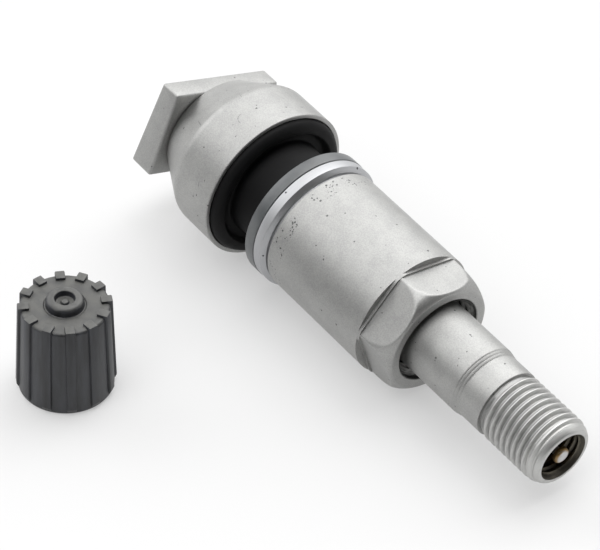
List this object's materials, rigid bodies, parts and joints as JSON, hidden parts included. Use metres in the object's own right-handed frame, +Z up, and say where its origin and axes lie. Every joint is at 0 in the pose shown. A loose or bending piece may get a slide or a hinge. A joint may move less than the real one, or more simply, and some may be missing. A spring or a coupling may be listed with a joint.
{
  "type": "tyre pressure sensor valve stem",
  "caption": "Clamp-in metal tyre valve that carries a pressure sensor, with collar nut, rubber grommet and plastic dust cap taken off beside it.",
  "frame": {"origin": "on the floor, in the middle of the part's outline seen from above", "axes": "+X from the head plate to the valve's mouth, +Z up, the dust cap on the -Y side"},
  "size_m": [0.0606, 0.0438, 0.0182],
  "materials": {
    "bare aluminium": "satin, bead blasted",
    "turned aluminium": "bright, turned",
    "black rubber": "moulded",
    "grey nylon": "moulded",
    "cap plastic": "moulded, satin",
    "brass": "turned",
    "steel": "plain"
  },
  "bodies": {
    "stem": {"valve_stem": "bare aluminium", "seat_cup": "bare aluminium", "grommet": "black rubber", "slip_ring": "grey nylon", "core_plug": "brass", "core_barrel": "brass", "core_gasket": "black rubber", "core_spring": "steel", "dust_cap": "cap plastic", "cap_seal": "black rubber"},
    "washer": {"nut_washer": "turned aluminium"},
    "nut": {"sleeve_nut": "bare aluminium"},
    "pin": {"core_pin": "steel", "core_cup": "brass", "core_seal": "black rubber"}
  },
  "joints": [
    {"name": "nut_travel", "type": "slide", "parent": "stem", "child": "washer", "axis": [0.9974, 0, -0.0725], "range_m": [0, 0.008]},
    {"name": "nut_turn", "type": "hinge", "parent": "washer", "child": "nut", "pos_m": [0.0004, 0.01297, 0.00769], "axis": [0.9974, 0, -0.0725], "range_deg": [0, 2900]},
    {"name": "pin_press", "type": "slide", "parent": "stem", "child": "pin", "axis": [-0.9974, 0, 0.0725], "range_m": [0, 0.0013], "stiffness_N_per_m": 300, "springref_m": -0.004, "deforming": ["core_spring"]}
  ],
  "couplings": [
    {"joint": "nut_turn", "follows": "nut_travel", "rad_per_m": 6283.2}
  ]
}
